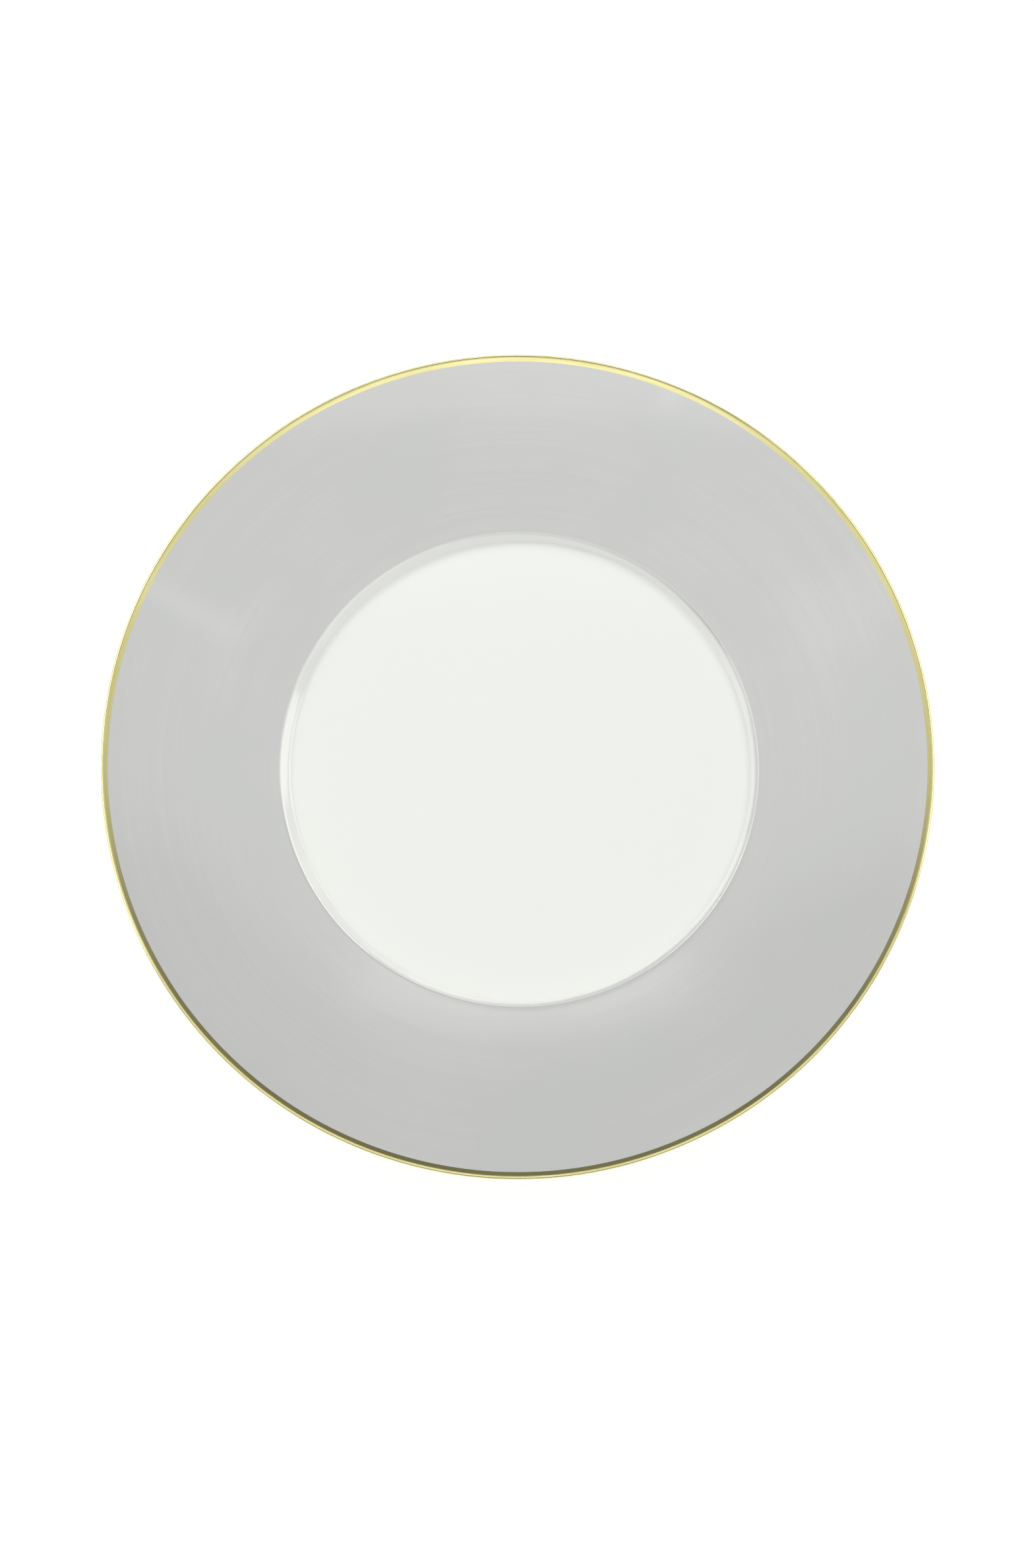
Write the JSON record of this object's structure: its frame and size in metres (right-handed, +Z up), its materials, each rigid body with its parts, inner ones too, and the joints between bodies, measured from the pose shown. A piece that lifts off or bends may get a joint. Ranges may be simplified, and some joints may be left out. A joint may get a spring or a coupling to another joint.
{
  "type": "dinner plate",
  "caption": "Round china dinner plate: flat well, small step, wide rising rim with a painted grey band, gold line round the rounded lip, and a foot ring underneath.",
  "frame": {"origin": "where the plate's axis meets the surface that its foot ring stands on", "axes": "+Z up along the plate's axis; the plate is the same all round, so +X and +Y are free"},
  "size_m": [0.273, 0.273, 0.024],
  "materials": {
    "biscuit": "matte",
    "glaze": "gloss",
    "grey_enamel": "gloss",
    "gold": "polished"
  },
  "bodies": {
    "root": {"china_body": "biscuit", "glaze_coat": "glaze", "foot_recess_glaze": "glaze", "grey_band": "grey_enamel", "gold_edge": "gold"}
  },
  "joints": []
}
